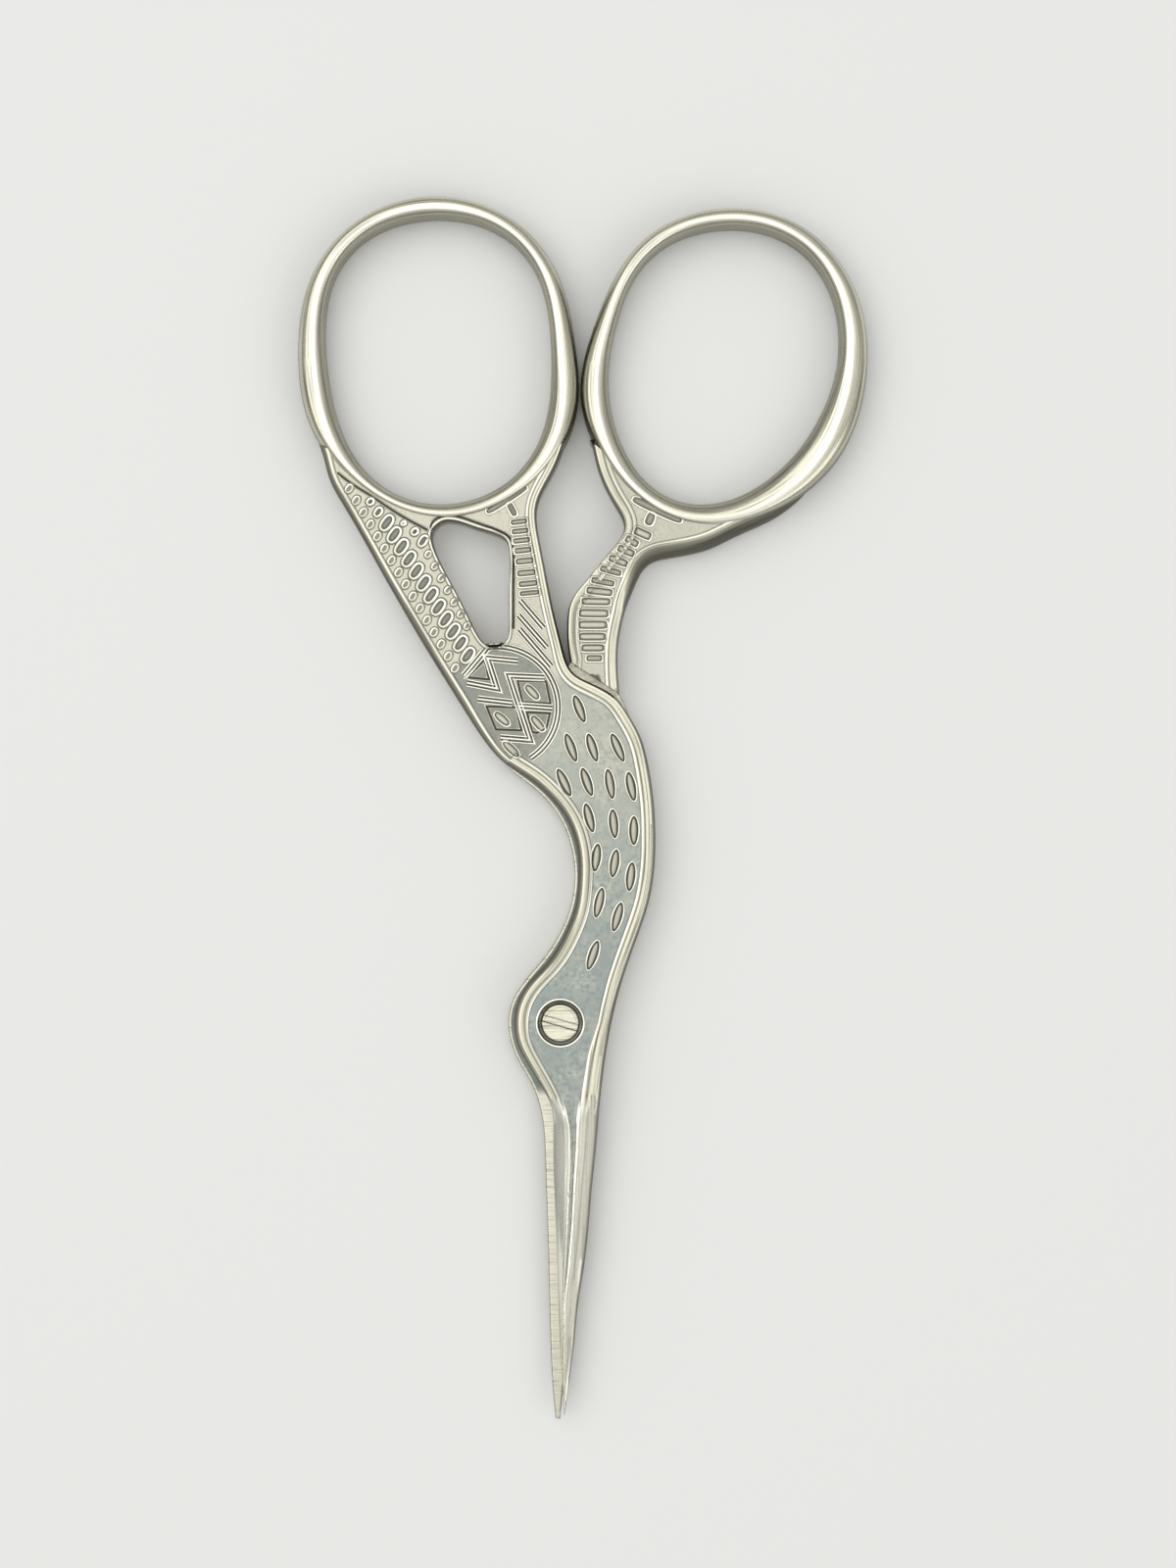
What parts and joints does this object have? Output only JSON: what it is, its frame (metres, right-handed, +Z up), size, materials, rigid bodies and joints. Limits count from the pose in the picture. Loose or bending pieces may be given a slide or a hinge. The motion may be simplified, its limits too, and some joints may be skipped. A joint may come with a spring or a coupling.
{
  "type": "stork embroidery scissors",
  "caption": "Small scissors shaped as a standing stork: the beak is the blades, the head holds the pivot screw, the legs end in oval finger bows.",
  "frame": {"origin": "on the pivot axis, at the plane that the closed scissors lie on", "axes": "+Z up out of the decorated face, along the pivot; +Y from the tips to the finger bows; +X to the right seen from above"},
  "size_m": [0.0537, 0.1153, 0.004],
  "materials": {
    "front_steel": "polished rims over an antiqued grey field",
    "rear_steel": "polished rims over an antiqued grey field, ground inner face",
    "screw_steel": "turned and polished"
  },
  "bodies": {
    "rear": {"rear_half": "rear_steel", "pivot_screw": "screw_steel"},
    "front": {"front_half": "front_steel"}
  },
  "joints": [
    {"name": "pivot", "type": "hinge", "parent": "rear", "child": "front", "pos_m": [0, 0, 0], "axis": [0, 0, 1], "range_deg": [0, 150]}
  ]
}
